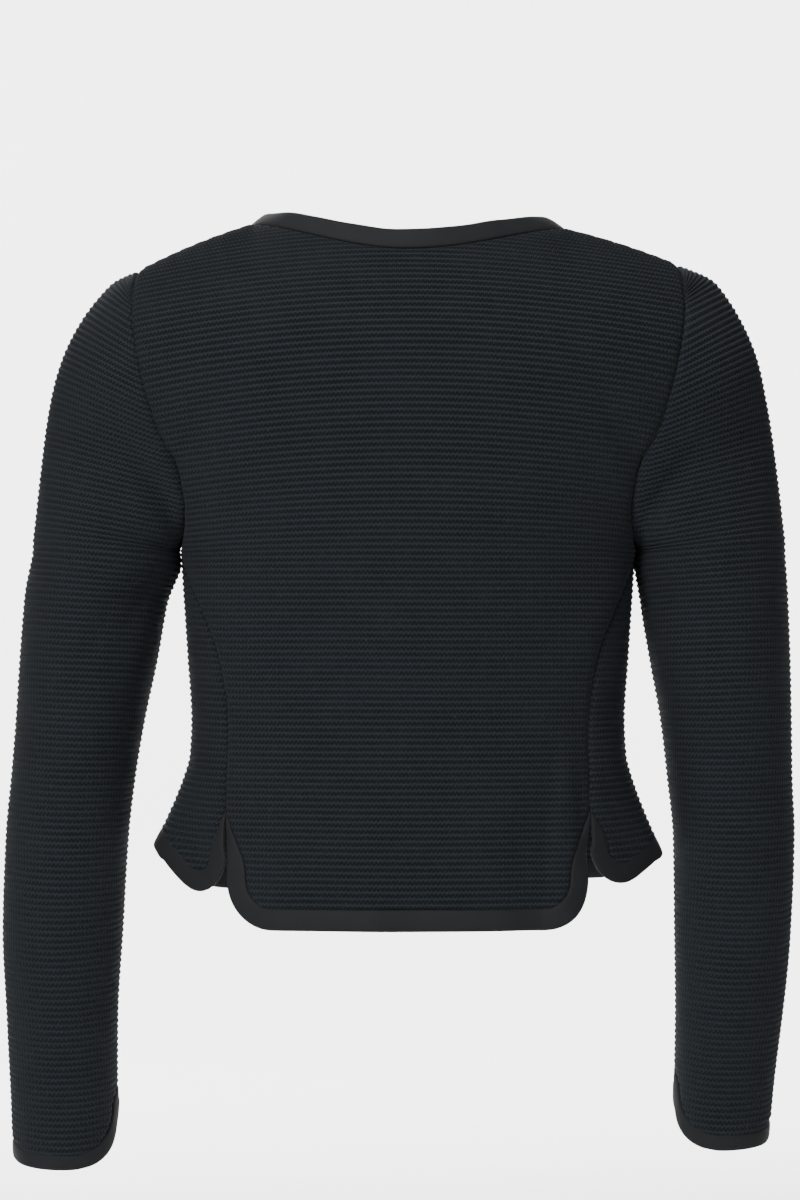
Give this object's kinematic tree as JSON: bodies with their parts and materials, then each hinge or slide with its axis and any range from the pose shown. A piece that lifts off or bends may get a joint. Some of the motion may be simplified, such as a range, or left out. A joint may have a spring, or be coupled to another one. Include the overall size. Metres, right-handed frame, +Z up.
{
  "type": "cropped knit cardigan",
  "caption": "Cropped long-sleeved cardigan in garter stitch, filled out as worn, with a round neck, open front, side vents and slit cuffs edged by smooth bands.",
  "frame": {"origin": "centre of the neck, level with the top of the shoulders, where a wearer or a hanger holds the garment up", "axes": "+X towards the wearer's left, +Y towards the wearer's back, +Z up"},
  "size_m": [0.5212, 0.2077, 0.6264],
  "materials": {
    "garter_knit": "matt dark blue-grey wool knitted in garter stitch",
    "jersey_band": "fine smooth dark jersey edging, matt with a slight sheen"
  },
  "bodies": {
    "root": {"back": "garter_knit", "front_left": "garter_knit", "front_right": "garter_knit", "sleeve_left": "garter_knit", "sleeve_right": "garter_knit", "band_neck": "jersey_band", "band_front_left": "jersey_band", "band_front_right": "jersey_band", "band_hem_back": "jersey_band", "band_cuff_left": "jersey_band", "band_cuff_right": "jersey_band"}
  },
  "joints": []
}
